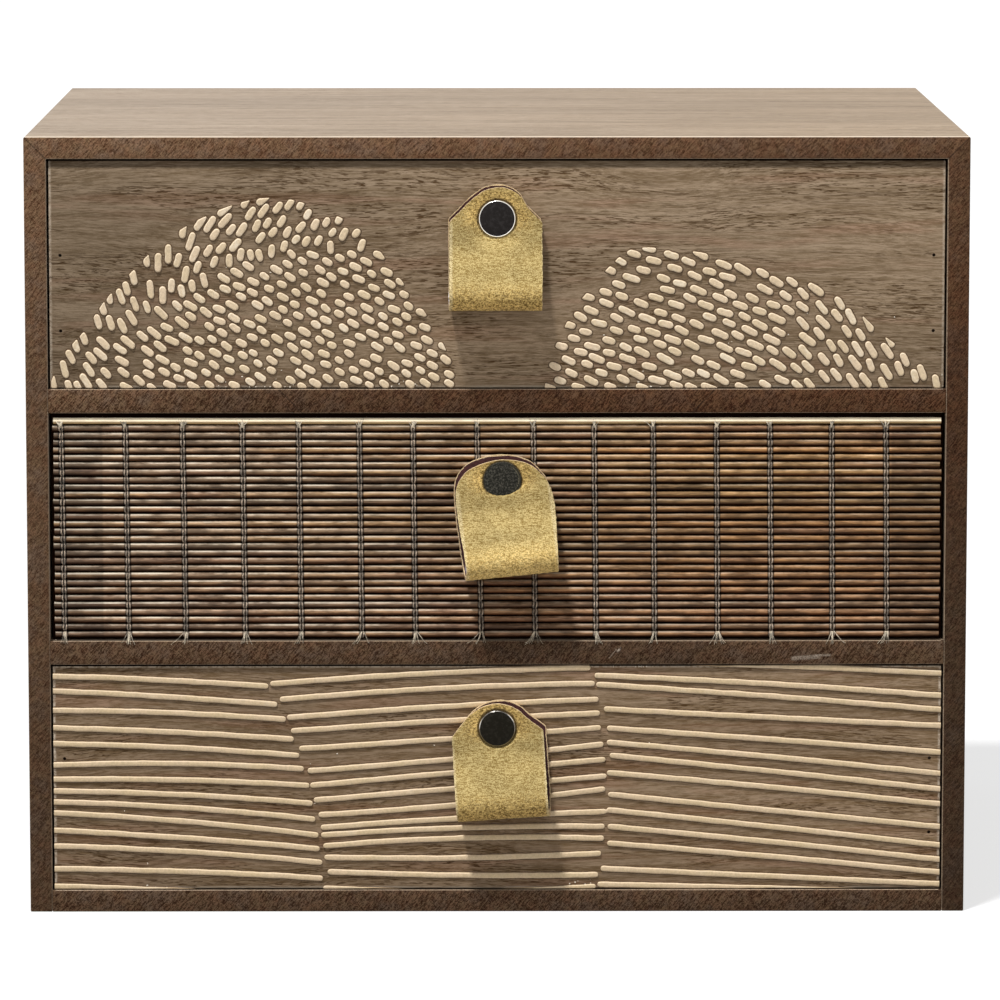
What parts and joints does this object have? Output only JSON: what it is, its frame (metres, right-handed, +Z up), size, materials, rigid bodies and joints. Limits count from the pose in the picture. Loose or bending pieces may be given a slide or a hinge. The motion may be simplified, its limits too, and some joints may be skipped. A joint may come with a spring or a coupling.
{
  "type": "desktop mini drawers",
  "caption": "Small wooden desktop chest with stacked pull-out drawers, raised dash and line decoration, a stick mat front and folded strap pulls on studs.",
  "frame": {"origin": "middle of the underside of the case, on the surface that it stands on", "axes": "+X to the right seen from the front, +Y from the drawer fronts to the back, +Z up"},
  "size_m": [0.255, 0.2138, 0.212],
  "materials": {
    "case_wood": "matte",
    "front_wood": "matte",
    "inner_wood": "matte",
    "relief": "matte",
    "sticks": "satin",
    "threads": "matte",
    "strap": "matte",
    "stud": "satin",
    "steel": "satin"
  },
  "bodies": {
    "case": {"case_top": "case_wood", "case_bottom": "case_wood", "case_left_side": "case_wood", "case_right_side": "case_wood", "upper_shelf": "case_wood", "lower_shelf": "case_wood", "back_panel": "inner_wood", "case_brads": "steel", "back_brads": "steel"},
    "top_drawer": {"top_drawer_front": "front_wood", "top_drawer_left_side": "inner_wood", "top_drawer_right_side": "inner_wood", "top_drawer_back": "inner_wood", "top_drawer_bottom": "inner_wood", "top_drawer_brads": "steel", "top_pull_stud": "stud", "top_stud_cap": "steel", "left_dash_relief": "relief", "right_dash_relief": "relief"},
    "top_pull": {"top_pull_strap": "strap"},
    "middle_drawer": {"middle_drawer_front": "front_wood", "middle_drawer_left_side": "inner_wood", "middle_drawer_right_side": "inner_wood", "middle_drawer_back": "inner_wood", "middle_drawer_bottom": "inner_wood", "middle_drawer_brads": "steel", "middle_pull_stud": "stud", "middle_stud_cap": "steel", "mat_sticks": "sticks", "mat_threads": "threads"},
    "middle_pull": {"middle_pull_strap": "strap"},
    "bottom_drawer": {"bottom_drawer_front": "front_wood", "bottom_drawer_left_side": "inner_wood", "bottom_drawer_right_side": "inner_wood", "bottom_drawer_back": "inner_wood", "bottom_drawer_bottom": "inner_wood", "bottom_drawer_brads": "steel", "bottom_pull_stud": "stud", "bottom_stud_cap": "steel", "line_relief": "relief"},
    "bottom_pull": {"bottom_pull_strap": "strap"}
  },
  "joints": [
    {"name": "top_drawer_slide", "type": "slide", "parent": "case", "child": "top_drawer", "axis": [0, -1, 0], "range_m": [0, 0.15]},
    {"name": "top_pull_swivel", "type": "hinge", "parent": "top_drawer", "child": "top_pull", "pos_m": [0, -0.1016, 0.1901], "axis": [0, 1, 0], "range_deg": [-90, 90]},
    {"name": "middle_drawer_slide", "type": "slide", "parent": "case", "child": "middle_drawer", "axis": [0, -1, 0], "range_m": [0, 0.15]},
    {"name": "middle_pull_swivel", "type": "hinge", "parent": "middle_drawer", "child": "middle_pull", "pos_m": [0.0014, -0.0997, 0.11907], "axis": [0, 1, 0], "range_deg": [-83, 97]},
    {"name": "bottom_drawer_slide", "type": "slide", "parent": "case", "child": "bottom_drawer", "axis": [0, -1, 0], "range_m": [0, 0.15]},
    {"name": "bottom_pull_swivel", "type": "hinge", "parent": "bottom_drawer", "child": "bottom_pull", "pos_m": [0, -0.1016, 0.05113], "axis": [0, 1, 0], "range_deg": [-86.5, 93.5]}
  ]
}
